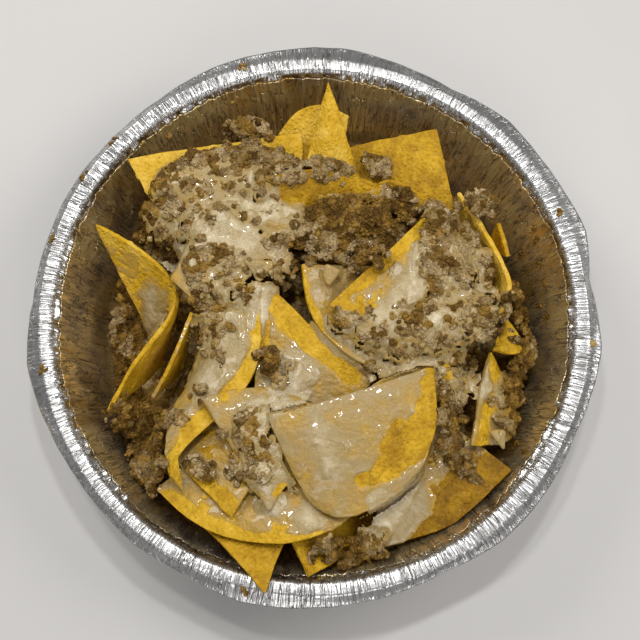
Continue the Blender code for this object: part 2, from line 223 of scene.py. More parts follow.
def makePiece(name, points, faces, material, slotName, **values):
    # points in millimetres; faces is a list of index arrays, each with its own number of corners
    mesh = bpy.data.meshes.new(name)
    corners = np.concatenate([f.ravel() for f in faces]).astype(np.int32)
    sizes = np.concatenate([np.full(len(f), f.shape[1]) for f in faces])
    starts = np.concatenate([[0], np.cumsum(sizes)[:-1]]).astype(np.int32)
    mesh.vertices.add(len(points))
    mesh.vertices.foreach_set("co", (points * mm).astype(np.float32).ravel())
    mesh.loops.add(len(corners))
    mesh.loops.foreach_set("vertex_index", corners)
    mesh.polygons.add(len(sizes))
    mesh.polygons.foreach_set("loop_start", starts)
    mesh.update(calc_edges=True)
    mesh.validate()
    mesh.shade_smooth()
    piece = bpy.data.objects.new(name, mesh)
    bpy.context.scene.collection.objects.link(piece)
    for key, value in values.items():
        kind, part = ("FLOAT", "value") if value.ndim == 1 else ("FLOAT_VECTOR", "vector")
        mesh.attributes.new(key, kind, "POINT").data.foreach_set(part, value.astype(np.float32).ravel())
    if material:
        mesh.materials.append(material)
    if slotName:
        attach(piece, "root")
    return piece


def arraysOf(mesh):
    # points and normals in millimetres, and the faces as one index array for each number of corners
    points = np.empty(len(mesh.vertices) * 3)
    normals = np.empty(len(mesh.vertices) * 3)
    mesh.vertices.foreach_get("co", points)
    mesh.vertices.foreach_get("normal", normals)
    corners = np.empty(len(mesh.loops), int)
    starts = np.empty(len(mesh.polygons), int)
    totals = np.empty(len(mesh.polygons), int)
    mesh.loops.foreach_get("vertex_index", corners)
    mesh.polygons.foreach_get("loop_start", starts)
    mesh.polygons.foreach_get("loop_total", totals)
    faces = [corners[starts[totals == n][:, None] + np.arange(n)] for n in np.unique(totals)]
    return points.reshape(-1, 3) / mm, normals.reshape(-1, 3), faces


def withModifiers(mesh, *steps):
    # the mesh after each modifier step, as arrays; a step is (type, settings)
    helper = bpy.data.objects.new("helper", mesh)
    bpy.context.scene.collection.objects.link(helper)
    for kind, settings in steps:
        modifier = helper.modifiers.new(kind, kind)
        for key, value in settings.items():
            setattr(modifier, key, value)
    graph = bpy.context.evaluated_depsgraph_get()
    arrays = arraysOf(helper.evaluated_get(graph).to_mesh())
    bpy.data.objects.remove(helper)
    return arrays


def mergedCopy(node, sharp=0):
    # a closed copy of a CAD node; edges sharper than so many degrees stay crisp, and none for 0
    shell = bmesh.new()
    shell.from_mesh(nodes[node].data)
    bmesh.ops.remove_doubles(shell, verts=shell.verts, dist=0.01 * mm)
    if sharp:
        crease = shell.edges.layers.float.new("crease_edge")
        for edge in shell.edges:
            if len(edge.link_faces) == 2 and edge.calc_face_angle() > math.radians(sharp):
                edge[crease] = 0.9
    mesh = bpy.data.meshes.new(node)
    shell.to_mesh(mesh)
    shell.free()
    return mesh


def pruned(points, faces, keep, **values):
    # keeps the faces that have a wanted corner, and drops the points that nothing uses
    faces = [f[keep[f].any(1)] for f in faces]
    used = np.unique(np.concatenate([f.ravel() for f in faces]))
    number = np.full(len(points), -1)
    number[used] = np.arange(len(used))
    return points[used], [number[f] for f in faces], {k: v[used] for k, v in values.items()}


def skyline(clouds, cell):
    # the height of the topmost point over each cell
    count = int(2 * mapReach / cell)
    grid = np.full((count, count), emptyCell)
    for cloud in clouds:
        at = ((cloud[:, :2] + mapReach) / cell).astype(int)
        good = ((at >= 0) & (at < count)).all(1)
        np.maximum.at(grid, (at[good, 0], at[good, 1]), cloud[good, 2])
    return grid


def closed(grid, step=4.0):
    # fills the pinholes between points, where a cell lies a step lower than one beside it
    for _ in range(3):
        around = np.max([np.roll(grid, (i, j), (0, 1)) for i in (-1, 0, 1) for j in (-1, 0, 1)], 0)
        grid = np.where(grid < around - step, around, grid)
    return grid


def blurred(grid, radius):
    reach = int(math.ceil(radius * 2.5))
    weights = np.exp(-0.5 * (np.arange(-reach, reach + 1) / radius) ** 2)
    weights /= weights.sum()
    for axis in (0, 1):
        grid = sum(w * np.roll(grid, s, axis) for w, s in zip(weights, range(-reach, reach + 1)))
    return grid


# materials

def foilFinish():
    r = Recipe("crimpedFoil")
    grease, fold, onRim = r.attribute("grease"), r.attribute("fold"), r.attribute("onRim")
    wrap = r.node("ShaderNodeAttribute", {"attribute_name": "wrap"}, out="Vector")

    def creases(across, along, width, detail=1):
        # fine lines that run down the wall or across the rim
        drawn = r.node("ShaderNodeVectorMath", {"operation": "MULTIPLY"},
                       {0: wrap, 1: (1 / across, 1 / across, 1 / along)})
        swing = r.node("ShaderNodeTexNoise", {},
                       {"Vector": drawn, "Scale": 1.0, "Detail": detail, "Distortion": 0.3}) - 0.5
        return r.span(r.node("ShaderNodeMath", {"operation": "ABSOLUTE"}, {0: swing}), width, 0.0)

    cloud = r.grain(9, 4)
    greaseFilmAndReflection = r.span(grease + (cloud - 0.5) * 0.7, 0.15, 0.95)
    wallLines = creases(1.7, 17, 0.050) * r.span(r.grain(12), 0.36, 0.60) + creases(4.6, 15, 0.018, 3) * 0.8
    # painted highlight: pale gold streaks along some creases of the wall
    highlightStreaks = creases(1.3, 13, 0.055, 2) * r.span(r.grain(9), 0.42, 0.60) * (1 - onRim)
    rimLines = creases(1.0, 40, 0.08) * 0.5 + creases(2.6, 22, 0.030, 2) * 0.7
    lines = rimLines * onRim + wallLines * (1 - onRim)
    spots = r.span(r.cells(3.4), 0.30, 0.12) * r.span(grease, 0.5, 0.9)
    # painted shade and highlight: both foil colours run darker in the fold valleys and lighter on the ridges
    metalWithFoldShade = r.mix(r.span(fold, -0.6, 0.6), (0.40, 0.40, 0.40), (0.74, 0.74, 0.74))
    tintWithFoldShade = r.mix(r.span(fold + (cloud - 0.5) * 0.8, -0.7, 0.7), (0.70, 0.45, 0.10), (1.0, 0.78, 0.32))
    # the wall's tint is partly real grease and partly painted reflection of the food
    colour = r.mix(greaseFilmAndReflection * 0.95, metalWithFoldShade, tintWithFoldShade)
    # the painted highlight streaks, shown where there is grease
    colour = r.mix(highlightStreaks * r.span(grease, 0.02, 0.3) * 0.65, colour, (0.97, 0.86, 0.62))
    # painted shade in the crease lines, partly grease caught in them: faint on the clean outside, stronger
    # with grease and on the rim crimps
    creaseShadeAndGrease = 0.10 + r.span(grease, 0.02, 0.3) * 0.6 + onRim * 0.40       # the outside of the pan is clean
    colour = r.mix(r.span(lines, 0.0, 1.0) * creaseShadeAndGrease, colour, (0.12, 0.09, 0.06))
    colour = r.mix(spots * 0.35, colour, (0.42, 0.23, 0.06))
    rough = 0.25 + greaseFilmAndReflection * 0.06 + onRim * 0.07 + (r.grain(5) - 0.5) * 0.16
    normal = r.bump(highlightStreaks - lines, 0.28, r.bump(r.grain(0.9, 4, 0.6), 0.05, r.bump(r.grain(3.0, 2), 0.15)))
    return r.finish(Base_Color=colour, Metallic=1 - greaseFilmAndReflection * 0.2, Roughness=rough, Normal=normal)


def tortillaFinish():
    r = Recipe("cornTortilla")
    toast = r.attribute("toast") + (r.grain(7, 4) - 0.5) * 0.95 + (r.grain(1.6, 3) - 0.5) * 0.5
    base = r.ramp(toast, [(0.0, (0.80, 0.52, 0.075)), (1.0, (0.20, 0.095, 0.003)),
                          (0.3, (0.64, 0.38, 0.016)), (0.6, (0.42, 0.225, 0.005))])
    darkSpecks = r.span(r.cells(1.7), 0.24, 0.10) * r.span(r.grain(5), 0.45, 0.62)
    paleSpecks = r.span(r.cells(1.1), 0.30, 0.12) * r.span(r.grain(4), 0.50, 0.65)
    colour = r.mix(darkSpecks * 0.75, base, (0.16, 0.070, 0.010))
    colour = r.mix(paleSpecks * 0.4, colour, (0.88, 0.68, 0.30))
    pebble = r.span(r.cells(1.5), 0.0, 0.7, 1.0, 0.0)
    normal = r.bump(r.grain(0.6, 3, 0.6), 0.20, r.bump(pebble, 0.34, r.bump(r.grain(3.5, 3), 0.60)))
    rough = 0.52 + (r.grain(6) - 0.5) * 0.3
    return r.finish(Base_Color=colour, Roughness=rough, Normal=normal, Specular_IOR_Level=0.2,
                    Subsurface_Weight=0.08, Subsurface_Radius=(1.0, 0.5, 0.15), Subsurface_Scale=0.002)


def quesoFinish():
    r = Recipe("meltedQueso")
    thick = r.attribute("thick")
    blend = thick + (r.grain(5, 4) - 0.5) * 0.6
    base = r.ramp(blend, [(0.0, (0.50, 0.30, 0.035)), (1.0, (0.58, 0.48, 0.30)),
                          (0.25, (0.41, 0.26, 0.060)), (0.55, (0.38, 0.275, 0.115)),
                          (0.8, (0.44, 0.34, 0.175))])
    flecks = r.span(r.cells(1.6), 0.22, 0.08) * r.span(r.grain(4), 0.48, 0.62)
    grains = r.span(r.cells(0.9), 0.25, 0.10) * r.span(r.grain(2.5), 0.5, 0.64)
    colour = r.mix(flecks * 0.55, base, (0.24, 0.13, 0.04))
    colour = r.mix(grains * 0.25, colour, (0.74, 0.66, 0.48))
    normal = r.bump(r.grain(0.8, 3, 0.55), 0.14, r.bump(r.grain(2.2, 3), 0.80))
    rough = 0.34 + (r.grain(4) - 0.45) * 0.3
    wet = r.span(r.grain(5), 0.40, 0.58)
    return r.finish(Base_Color=colour, Roughness=rough, Normal=normal, Specular_IOR_Level=0.4,
                    Coat_Weight=wet * 0.8, Coat_Roughness=0.07, Subsurface_Weight=0.15,
                    Subsurface_Radius=(1.0, 0.6, 0.3), Subsurface_Scale=0.002)


def beefFinish():
    r = Recipe("groundBeef")
    bit = r.cells(4.2, "Color")
    each, other = (r.node("ShaderNodeSeparateColor", {}, {0: bit}, part) for part in ("Red", "Green"))
    coated = r.span(r.attribute("coated") + (other - 0.5) * 1.0 + (r.grain(5, 4) - 0.5) * 0.9, 0.38, 0.90)
    tone = each * 0.45 + r.grain(1.3, 4, 0.6) * 0.7 - 0.08
    bare = r.ramp(tone, [(0.0, (0.030, 0.013, 0.001)), (1.0, (0.56, 0.34, 0.080)),
                         (0.4, (0.155, 0.080, 0.010)), (0.7, (0.32, 0.180, 0.028))])
    under = r.ramp(tone, [(0.0, (0.17, 0.100, 0.026)), (1.0, (0.70, 0.59, 0.38)),
                          (0.4, (0.33, 0.220, 0.085)), (0.7, (0.50, 0.37, 0.19))])
    colour = r.mix(coated, bare, under)
    seam = r.attribute("seam")
    # painted shade: dark in the seams between the lumps of the beef; on loose crumbs the same attribute
    # gives random dark patches
    colour = r.mix(seam * 0.75, colour, (0.07, 0.035, 0.010))
    lump = r.span(r.cells(1.1), 0.0, 0.8, 1.0, 0.0)
    normal = r.bump(r.grain(0.6, 4, 0.65), 0.34, r.bump(lump, 0.6))
    rough = 0.52 - coated * 0.24 + (r.grain(2.5) - 0.5) * 0.3
    wet = coated * r.span(r.grain(2.2), 0.5, 0.62)
    return r.finish(Base_Color=colour, Roughness=rough, Normal=normal, Specular_IOR_Level=0.25,
                    Coat_Weight=wet * 0.6, Coat_Roughness=0.12, Subsurface_Weight=0.06,
                    Subsurface_Radius=(1.0, 0.45, 0.2), Subsurface_Scale=0.0015)


foil = foilFinish()
tortilla = tortillaFinish()
queso = quesoFinish()
beef = beefFinish()
print("materials mixed")


# foil pan

pan = {
    "bowlSegments": 1024, "rimSegments": 2048, "foil": 0.35,
    "profile": [(0, 0.5), (40, 0.5), (78, 0.5), (84, 0.8), (88, 2.2), (90.6, 5.0), (93.8, 14), (97.1, 23),
                (100.4, 32), (103.4, 40.5), (104.4, 42.9), (105.6, 43.9), (107.5, 44.1), (109.7, 44.2),
                (111.2, 43.8), (113.6, 42.8), (116.6, 41.9)],
    "fluteDepth": 0.75, "waveDepth": 0.8, "crackDepth": 0.5, "ribDepth": 0.25,
    "edgeDents": 4.2, "dentLength": 26, "edgeLift": 0.8,
    # grease inside the wall, with painted reflection of the food in its tint: all round, more at the back,
    # in patches, and smeared on the rim
    "grease": 0.62, "greaseAndReflectionAtBack": 0.25, "greaseAndReflectionPatches": 0.5, "greaseOnRim": 0.6,
}
profileRadius, profileHeight = np.array(pan["profile"], float).T
profileLengths = np.concatenate([[0], np.cumsum(np.hypot(np.diff(profileRadius), np.diff(profileHeight)))])
# how far along the profile the floor ends, the wall begins and ends, the ledge folds and the foil is trimmed
floorAt, footAt, topAt, foldAt, endAt = profileLengths[[3, 5, 9, 13, 16]]


def onProfile(s):
    return np.interp(s, profileLengths, profileRadius), np.interp(s, profileLengths, profileHeight)


def panSurface(angle, s):
    # the foil's middle at an angle round the pan and a distance s along its profile
    r, z = onProfile(s)
    before, after = onProfile(s - 0.8), onProfile(s + 0.8)
    ahead, rise = after[0] - before[0], after[1] - before[1]
    size = np.hypot(ahead, rise)
    inward, upward = -rise / size, ahead / size
    onWall = eased(s, footAt - 4, footAt + 4) * (1 - eased(s, topAt, topAt + 2.5))
    climb = np.clip((s - footAt) / (topAt - footAt), 0, 1)
    onRim = eased(s, topAt, topAt + 3)
    onFlap = eased(s, foldAt, foldAt + 1.5)

    def ring(across, along, seed, turned=angle):
        # smooth noise on the foil, in lumps of so many millimetres round the pan and along the profile
        way = np.stack([np.cos(turned) * 100 / across, np.sin(turned) * 100 / across, s / along], -1)
        return wave(way, seed)

    swayed = angle + 0.015 * ring(18, 14, 3)

    def flutes(across, along, seed):
        return 1 - 2 * np.abs(ring(across, along, seed, swayed))

    # flutes run down the wall by uneven lengths
    reach = eased(climb + 0.55 * ring(7, 60, 5), 0.05, 0.85)
    wall = pan["fluteDepth"] * flutes(3.6, 22, 11) * (0.25 + 0.75 * reach)
    wall += 0.5 * pan["fluteDepth"] * flutes(1.9, 14, 12) * reach * climb
    wall += pan["waveDepth"] * ring(17, 30, 13)
    crack = 1 - np.abs(ring(11, 9, 14)) * 7
    wall += pan["crackDepth"] * np.clip(crack, 0, 1) * eased(ring(30, 30, 15), -0.2, 0.3)
    ribs = pan["ribDepth"] * (flutes(1.35, 22, 21) + 0.45 * flutes(3.1, 16, 22))
    ribs *= 0.5 + 0.5 * np.abs(ring(9, 30, 23))
    sway = 0.5 * ring(26, 80, 24)
    shift = onWall * wall + onRim * (ribs * (1 - 0.7 * onFlap) + sway)
    push = onFlap * (s - foldAt) / (endAt - foldAt)
    # the trimmed edge runs in short straight lengths
    whole = 2 * math.pi
    count = int(whole * 115 / pan["dentLength"])
    number = np.stack([np.arange(count)] * 3, -1)
    bends = (np.arange(count) + 0.7 * scattered(number, 35)) * whole / count
    dents = scattered(number, 36) * pan["edgeDents"]
    lift = (scattered(number, 37) * 2 - 1) * pan["edgeLift"]
    dent, lifted = (np.interp(angle % whole, bends, v, period=whole) for v in (dents, lift))
    r = r + inward * shift - push * (dent + 0.25 * ring(5, 300, 32))
    z = z + upward * shift + push * lifted + 0.35 * onRim * ring(40, 300, 34)
    points = np.stack([r * np.cos(angle), r * np.sin(angle), z], -1)
    normal = np.stack([inward * np.cos(angle), inward * np.sin(angle), upward], -1)
    return points, normal, onWall * wall / 1.2 + onRim * ribs / 0.7


def foilPart(name, segments, inner, outer, poles):
    # a ring of foil, or with poles a closed bowl, from the stops along its upper and its under side
    angle = np.arange(segments) * 2 * math.pi / segments
    rows, folds, wraps, within = [], [], [], []
    for stops, side in ((inner, 0.5), (outer, -0.5)):
        for s in stops:
            p, n, creased = panSurface(angle, np.full(segments, s))
            rows.append(p + n * side * pan["foil"])
            folds.append(creased)
            within.append(np.full(segments, side + 0.5))
            wraps.append(np.stack([np.cos(angle) * 100, np.sin(angle) * 100, np.full(segments, s)], -1))
    points, folds, wraps = np.concatenate(rows), np.concatenate(folds), np.concatenate(wraps)
    grid = np.arange(len(points)).reshape(len(rows), segments)
    beside = np.roll(grid, -1, 1)
    if poles:
        faces = [np.stack([grid[:-1], beside[:-1], beside[1:], grid[1:]], -1)[:, :, ::-1].reshape(-1, 4)]
        middle = np.array([[0, 0, points[0, 2]], [0, 0, points[-1, 2]]])
        points, wraps = np.concatenate([points, middle]), np.concatenate([wraps, middle])
        folds = np.append(folds, [0, 0])
        top, under = len(points) - 2, len(points) - 1
        faces.append(np.stack([grid[0], beside[0], np.full(segments, top)], -1))
        faces.append(np.stack([beside[-1], grid[-1], np.full(segments, under)], -1))
    else:
        ring = np.stack([grid, beside, np.roll(beside, -1, 0), np.roll(grid, -1, 0)], -1)
        faces = [ring[:, :, ::-1].reshape(-1, 4)]
    r, z, a = np.hypot(points[:, 0], points[:, 1]), points[:, 2], np.arctan2(points[:, 1], points[:, 0])
    wallPart = eased(z, 42.5, 40) * eased(r, 60, 80)          # the wall, without the floor and the rim
    patches = layered(points, 16, 71, 3)
    backward = 0.5 + 0.5 * np.sin(a)
    within = np.concatenate(within + [np.zeros(len(points) - len(rows) * segments)])
    grease = pan["grease"] + pan["greaseAndReflectionAtBack"] * backward + pan["greaseAndReflectionPatches"] * patches
    grease *= within * wallPart
    rimSmear = (1 - wallPart) * eased(layered(points, 13, 72, 3), 0.35, 0.8) * pan["greaseOnRim"]
    return makePiece(name, points, faces, foil, "foil", grease=np.clip(grease + rimSmear, 0, 1), fold=folds,
                     wrap=wraps, onRim=eased(z, 42.0, 43.4))


def stopsThrough(*legs):
    # stops along the profile; a leg is (from, to, count), and each leg starts where the last one ends
    parts = [np.linspace(start, end, count) for start, end, count in legs]
    return np.concatenate([parts[0]] + [part[1:] for part in parts[1:]])


bowl = foilPart("panBowl", pan["bowlSegments"],
                stopsThrough((1, floorAt, 5), (floorAt, footAt, 9), (footAt, topAt, 43)),
                stopsThrough((topAt, footAt, 30), (footAt, floorAt, 6), (floorAt, 1, 4)), True)
rim = foilPart("panRim", pan["rimSegments"], stopsThrough((topAt, foldAt, 15), (foldAt, endAt, 11)),
               stopsThrough((endAt, topAt, 21)), False)
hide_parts("foil_pan")
print("foil pan pressed", len(bowl.data.polygons), len(rim.data.polygons))


# tortilla chips and the queso on them

chipLook = {
    "level": 3, "fineLevel": 4, "sharpEdge": 50,
    "warp": 0.45, "warpSize": 9, "pebble": 0.16, "pebbleSize": 2.4, "blister": 0.75, "blisterSize": 6.0,
    "toastPatches": 0.16, "toastEdges": 0.10,
    "fine": ["chip_front_top", "chip_left_wide", "chip_centre_right", "chip_lower_right", "chip_front_wide",
             "chip_centre_long"],
}

# how toasted each chip is, from 0 pale to 1 dark; the standing chip at the right is set paler, as painted
# light on its shaded face
toastOf = {
    "chip_back_left": 0.18, "chip_back_spike": 0.28, "chip_back_bent": 0.24, "chip_back_right": 0.52,
    # painted light: the standing chip at the right is kept pale to brighten its shaded face
    "chip_hollow_left": 0.62, "chip_hollow_right": 0.42, "chip_right_standing": 0.05,
    "chip_right_sliver": 0.42, "chip_right_flap": 0.36, "chip_lower_right": 0.78, "chip_small_behind": 0.38,
    "chip_centre_right": 0.42, "chip_centre_long": 0.38, "chip_centre_crescent": 0.35,
    "chip_left_wide": 0.28, "chip_left_curl": 0.26, "chip_left_edge": 0.45, "chip_left_middle": 0.36,
    "chip_front_top": 0.50, "chip_front_rim": 0.50, "chip_front_tip": 0.50, "chip_front_wide": 0.36,
}
toastElsewhere = 0.4

# queso on a chip: how much all over, then bare strokes and thick strokes (x, y, radius)
coatOf = {
    "chip_front_top": (0.8, [[(46, -26, 3.5), (45, -36, 5), (43, -46, 6), (37.5, -55, 6), (30, -61, 5.5),
                              (23, -66, 4), (18, -67, 3)], [(33, -48, 4), (28, -55, 3)]],
                       [[(2, -50, 3), (6, -62, 3)]]),
    "chip_left_wide": (0.5, [[(-21, 5, 4), (-20, -13, 5), (-23, -25, 6), (-33, -38, 6.5), (-45, -50, 7),
                              (-51, -62, 6)]],
                       [[(-36, -3, 6), (-33, -16, 7), (-42, -28, 6)]]),
    "chip_left_curl": (0.0, [[(-92, 38, 4), (-80, 33, 4), (-68, 27, 3)],
                             [(-84, -34, 9), (-74, -22, 7), (-56, 0, 4)]],
                       [[(-68, 10, 4), (-66, 2, 4)]]),
    "chip_centre_right": (0.1, [[(8, 3, 2), (17, 10, 3), (26, 19, 4), (36, 29, 4), (50, 40, 6)]],
                          [[(34, 3, 3), (43, 14, 4)]]),
    "chip_centre_long": (0.6, [[(-19, 12, 2.5), (-21, -2, 3), (-21, -14, 3)],
                               [(-17, 9, 5), (-8, -2, 7), (3, -13, 6), (15, -25, 4)]],
                         [[(-9, -24, 7), (-12, -33, 6)]]),
    "chip_centre_crescent": (0.4, [[(-7, 18, 2), (-4, 4, 3), (2, -6, 3)]], []),
    "chip_front_wide": (0.35, [[(-56, -74, 4), (-44, -84, 5), (-28, -91, 5), (-8, -93, 5), (10, -90, 5)]],
                        [[(-2, -82, 4)]]),
    "chip_lower_right": (0.3, [[(76, -60, 8), (60, -70, 9), (50, -84, 6), (40, -92, 5)]],
                         [[(30, -84, 9), (36, -74, 9)]]),
    "chip_right_flap": (0.8, [[(74, -14, 3), (72, -30, 2.5), (64, -56, 3)]], [[(70, -30, 4)]]),
    "chip_left_middle": (0.8, [], [[(-36, 32, 8), (-28, 26, 7)]]),
    "chip_hollow_left": (0.0, [[(-16, 50, 4), (0, 53, 4), (22, 57, 5)]], [[(-8, 38, 6)]]),
    "chip_hollow_right": (-0.2, [[(26, 54, 5), (48, 54, 6)]], []),
    "chip_back_left": (0.1, [[(-74, 62, 6), (-50, 72, 7), (-8, 77, 8)]], [[(-40, 52, 8), (-20, 56, 6)]]),
    "chip_front_left": (0.2, [[(-44, -70, 5), (-34, -77, 5)]], []),
    "chip_front_middle": (0.4, [[(-12, -70, 4)]], [[(-16, -78, 3)]]),
    "chip_small_behind": (0.2, [[(54, -24, 3)]], []),
    "chip_left_edge": (-0.1, [], []),
    "chip_right_standing": (-0.3, [], []),
    "chip_bit_left": (1.3, [], []),
    "chip_bit_back": (1.2, [], []),
    "chip_bit_right": (1.2, [], []),
    "chip_bit_middle": (1.2, [], []),
}

visible = []            # points of everything laid so far, for what lies on it or runs over it


def bakeChip(node, order):
    look = chipLook
    level = look["fineLevel"] if node in look["fine"] else look["level"]
    sharp = 0 if "bit" in node else look["sharpEdge"]                 # the small bits are soft all round
    points, normals, faces = withModifiers(mergedCopy(node, sharp),
                                           ("SUBSURF", {"levels": level, "render_levels": level}))
    seed = order * 7
    shift = look["warp"] * layered(points, look["warpSize"], seed + 1, 2)
    shift += look["pebble"] * layered(points, look["pebbleSize"], seed + 2, 2)
    shift += look["blister"] * eased(layered(points, look["blisterSize"], seed + 3, 2), 0.42, 0.75)
    shaped = points + normals * shift[:, None]
    toast = toastOf.get(node, toastElsewhere) + look["toastPatches"] * layered(points, 14, order + 40, 2)
    edge = np.abs(normals[:, 2]) < 0.55
    toast = toast + look["toastEdges"] * edge * wave(points / 5, order)
    piece = makePiece(node.replace("chip_", "tortilla_"), shaped, faces, tortilla, "tortilla", toast=toast)
    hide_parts(node)
    visible.append(shaped)
    if node not in coatOf:
        return
    over, bareStrokes, thickStrokes = coatOf[node]
    ragged = 0.9 * layered(points, 7, order + 90, 3) + 0.5 * layered(points, 2.2, order + 91, 2)
    bare = inside(points, bareStrokes) / 2.2 + 0.5
    rich = np.clip(inside(points, thickStrokes) / 5 + 0.7, 0, 1.4)
    amount = over + 0.7 * rich + ragged * 0.8 - np.clip(bare, 0, 3)
    amount = np.where(normals[:, 2] > 0.15, amount, -1)
    thick = eased(amount, 0, 0.7)
    depth = thick * (0.35 + 0.5 * eased(rich, 0.3, 1.2) + 0.25 * layered(points, 5, order + 92, 2))
    depth = np.where(amount > 0, depth + 0.04, -0.3)
    laid = shaped + normals * depth[:, None]
    paleness = 0.05 + 0.32 * thick + 0.35 * rich * thick + 0.4 * layered(points, 9, order + 93, 3)
    laid, kept, values = pruned(laid, faces, depth > -0.2, thick=np.clip(paleness, 0, 1))
    makePiece(node.replace("chip_", "quesoOn_"), laid, kept, queso, "queso", **values)
    visible.append(laid)


for order, node in enumerate(chipNodes):
    bakeChip(node, order)
print("chips laid", sum(len(p) for p in visible))


# ground beef: smaller cores, with real crumbs over them

beefLook = {
    "shrink": 1.8, "voxel": 0.75, "soften": 2, "massDepth": 1.1,
    "bedShrink": 0.8, "bedVoxel": 0.85, "bedSoften": 6, "bedDryness": 0.35, "lumpDepth": 1.5,
    "lump": 3.2, "fineLump": 1.15, "fineDepth": 0.55, "lowest": 0.95,
    "bridge": 4.5, "bridgeDrop": 2.5, "wallGap": 2.6, "crumbWallGap": 2.2,
    # crumbs: how many a square centimetre, and the range of their radius
    "bedPerCm2": 13, "packedPerCm2": 15.0, "crumbSizes": (0.9, 2.4),
    "loosePerCm2": 15.0, "looseSizes": (0.6, 1.5), "grainsPerCm2": 42.0, "grainSizes": (0.3, 0.8),
}

# places where the crumbs are dry and brown, without queso
bareBeef = [[(-86, -20, 8), (-78, -38, 12), (-64, -48, 9)], [(-80, 14, 7), (-80, 30, 7), (-72, 48, 7)],
            [(-8, 46, 5), (6, 40, 8), (22, 40, 9), (36, 42, 7)], [(84, -20, 8), (84, -36, 8)],
            [(88, 0, 8), (84, 20, 6)], [(14, -92, 8)], [(-19, -21, 6)], [(-60, 62, 5), (-66, 54, 5)],
            [(-5, -84, 5)]]


def coatedAt(points):
    return np.clip(0.5 - inside(points, bareBeef) / 5, 0, 0.62) + 0.5 * layered(points, 9, 55, 3)


def shrunk(names, shrink):
    shells = []
    for name in names:
        points, normals, faces = arraysOf(mergedCopy(name))
        shells.append((points - normals * shrink, faces))
    return shells


def joined(shells):
    faces, count = [], 0
    for points, parts in shells:
        faces += [f + count for f in parts]
        count += len(points)
    whole = makePiece("joined", np.concatenate([p for p, f in shells]), faces, None, None)
    mesh = whole.data
    bpy.data.objects.remove(whole)
    return mesh


def keptInside(points, margin):
    # nothing that lies in the pan goes through its wall
    limit = np.interp(points[:, 2], profileHeight[3:11], profileRadius[3:11]) - margin
    radius = np.maximum(np.hypot(points[:, 0], points[:, 1]), 1e-6)
    points[:, :2] *= np.minimum(1, limit / radius)[:, None]
    return points


def grownTogether(name, shells, names, voxel, soften, lumpDepth, seed, dry=0.0):
    # the shells become one skin with lumps on it, as packed beef has
    points, normals, faces = withModifiers(joined(shells),
                                           ("REMESH", {"mode": "VOXEL", "voxel_size": voxel * mm}),
                                           ("SMOOTH", {"factor": 0.5, "iterations": soften}))
    lumps = pebbles(points, beefLook["lump"], seed)
    small = pebbles(points, beefLook["fineLump"], seed + 9)
    shift = lumpDepth * (lumps - 0.55) + beefLook["fineDepth"] * (small - 0.5)
    shift += 0.4 * layered(points, 6, seed, 3)
    points = points + normals * shift[:, None]
    points[:, 2] = np.maximum(points[:, 2], beefLook["lowest"])
    points = keptInside(points, beefLook["wallGap"])
    # painted shade in the seams between the lumps
    seam = np.clip(1 - lumps * 1.5, 0, 1) ** 1.5
    piece = makePiece(name, points, faces, beef, "ground_beef", coated=coatedAt(points) - dry, seam=seam)
    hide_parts(*names)
    visible.append(points)
    return piece


bedShells = shrunk(["beef_bed"], beefLook["bedShrink"])
bed = grownTogether("beefBed", bedShells, ["beef_bed"], beefLook["bedVoxel"], beefLook["bedSoften"],
                    beefLook["lumpDepth"], 201, beefLook["bedDryness"])
piled = [n for n in heapNodes if n != "beef_bed"] + clumpNodes
cores = shrunk(piled, beefLook["shrink"])
print("beef bed", len(bed.data.polygons))


def crumbShapes(name, count, rings, seed):
    # irregular crumbs of about one millimetre across, each only a few dozen faces
    group = bpy.data.collections.new(name)
    for n in range(count):
        shell = bmesh.new()
        bmesh.ops.create_icosphere(shell, subdivisions=rings, radius=1.0)
        mesh = bpy.data.meshes.new(f"{name}{n}")
        shell.to_mesh(mesh)
        shell.free()
        points, normals, faces = arraysOf(mesh)
        way = points * mm
        stretch = 0.75 + 0.5 * scattered(np.array([[n, 1, 2], [n, 3, 4], [n, 5, 6]]), seed)
        swell = 0.80 + 0.26 * pebbles(way + 7 * n, 1.2, seed) + 0.30 * wave(way * 1.1 + 5 * n, seed + 1)
        crumb = makePiece(f"{name}{n}", way * swell[:, None] * stretch, faces, None, None)
        bpy.context.scene.collection.objects.unlink(crumb)
        group.objects.link(crumb)
    return group


